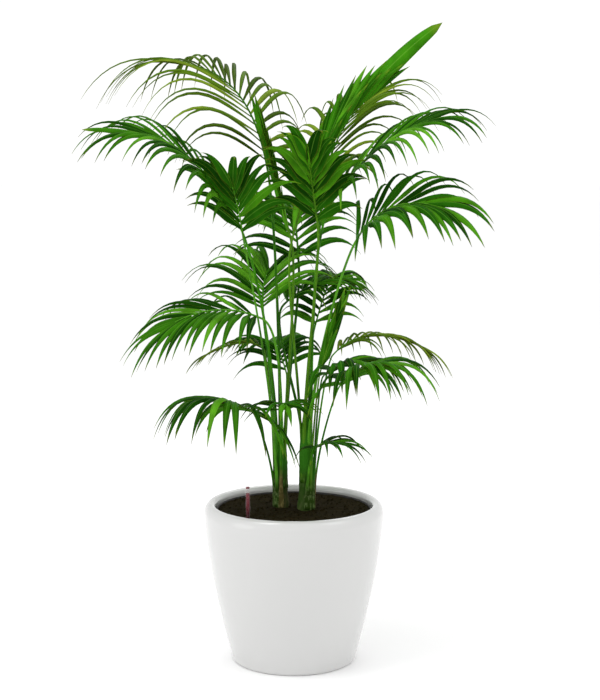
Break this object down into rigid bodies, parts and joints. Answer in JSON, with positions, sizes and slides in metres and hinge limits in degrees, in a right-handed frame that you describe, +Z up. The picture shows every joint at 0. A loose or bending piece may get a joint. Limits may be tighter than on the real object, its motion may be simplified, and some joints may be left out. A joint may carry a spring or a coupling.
{
  "type": "potted kentia palm",
  "caption": "Feather-leaved indoor palm with clumped stems and arching fronds, in a round glossy planter with soil and a water level gauge.",
  "frame": {"origin": "centre of the planter's flat underside", "axes": "+Z up the stems, +X to the right and -Y towards the viewer of the front"},
  "size_m": [0.7871, 0.6731, 1.2312],
  "materials": {
    "planter_gloss": "gloss",
    "insert_dark": "matte",
    "potting_soil": "matte",
    "gauge_clear": "gloss",
    "gauge_red": "gloss",
    "stem_sheath": "matte",
    "stalk_green": "satin",
    "leaf_deep": "satin",
    "leaf_mid": "satin",
    "leaf_bright": "satin",
    "leaf_olive": "satin"
  },
  "bodies": {
    "root": {"planter_shell": "planter_gloss", "insert_pot": "insert_dark", "soil": "potting_soil", "gauge_tube": "gauge_clear", "gauge_float": "gauge_red", "stem_left": "stem_sheath", "stem_right": "stem_sheath", "stalk_left_feather": "stalk_green", "stalk_left_reach": "stalk_green", "stalk_left_heart": "stalk_green", "stalk_centre_spear": "stalk_green", "stalk_back_arch": "stalk_green", "stalk_mid_back": "stalk_green", "stalk_mid_left": "stalk_green", "stalk_mid_left_slim": "stalk_green", "stalk_low_left": "stalk_green", "stalk_low_inner": "stalk_green", "stalk_back_low": "stalk_green", "stalk_tall_spear": "stalk_green", "stalk_back_feather": "stalk_green", "stalk_right_reach": "stalk_green", "stalk_right_low": "stalk_green", "stalk_dark_heart": "stalk_green", "stalk_mid_right": "stalk_green", "stalk_back_right": "stalk_green", "stalk_olive_arch": "stalk_green", "stalk_young_spear": "stalk_green", "stalk_low_hand": "stalk_green", "stalk_right_hand": "stalk_green", "stalk_low_right": "stalk_green", "frond_left_feather": "leaf_olive", "frond_left_reach": "leaf_mid", "frond_left_heart": "leaf_deep", "frond_centre_spear": "leaf_bright", "frond_back_arch": "leaf_deep", "frond_mid_back": "leaf_mid", "frond_mid_left": "leaf_mid", "frond_mid_left_slim": "leaf_olive", "frond_low_left": "leaf_mid", "frond_low_inner": "leaf_deep", "frond_back_low": "leaf_deep", "frond_tall_spear": "leaf_bright", "frond_back_feather": "leaf_olive", "frond_right_reach": "leaf_mid", "frond_right_low": "leaf_deep", "frond_dark_heart": "leaf_deep", "frond_mid_right": "leaf_mid", "frond_back_right": "leaf_deep", "frond_olive_arch": "leaf_olive", "frond_young_spear": "leaf_mid", "frond_low_hand": "leaf_deep", "frond_right_hand": "leaf_mid", "frond_low_right": "leaf_deep"}
  },
  "joints": []
}
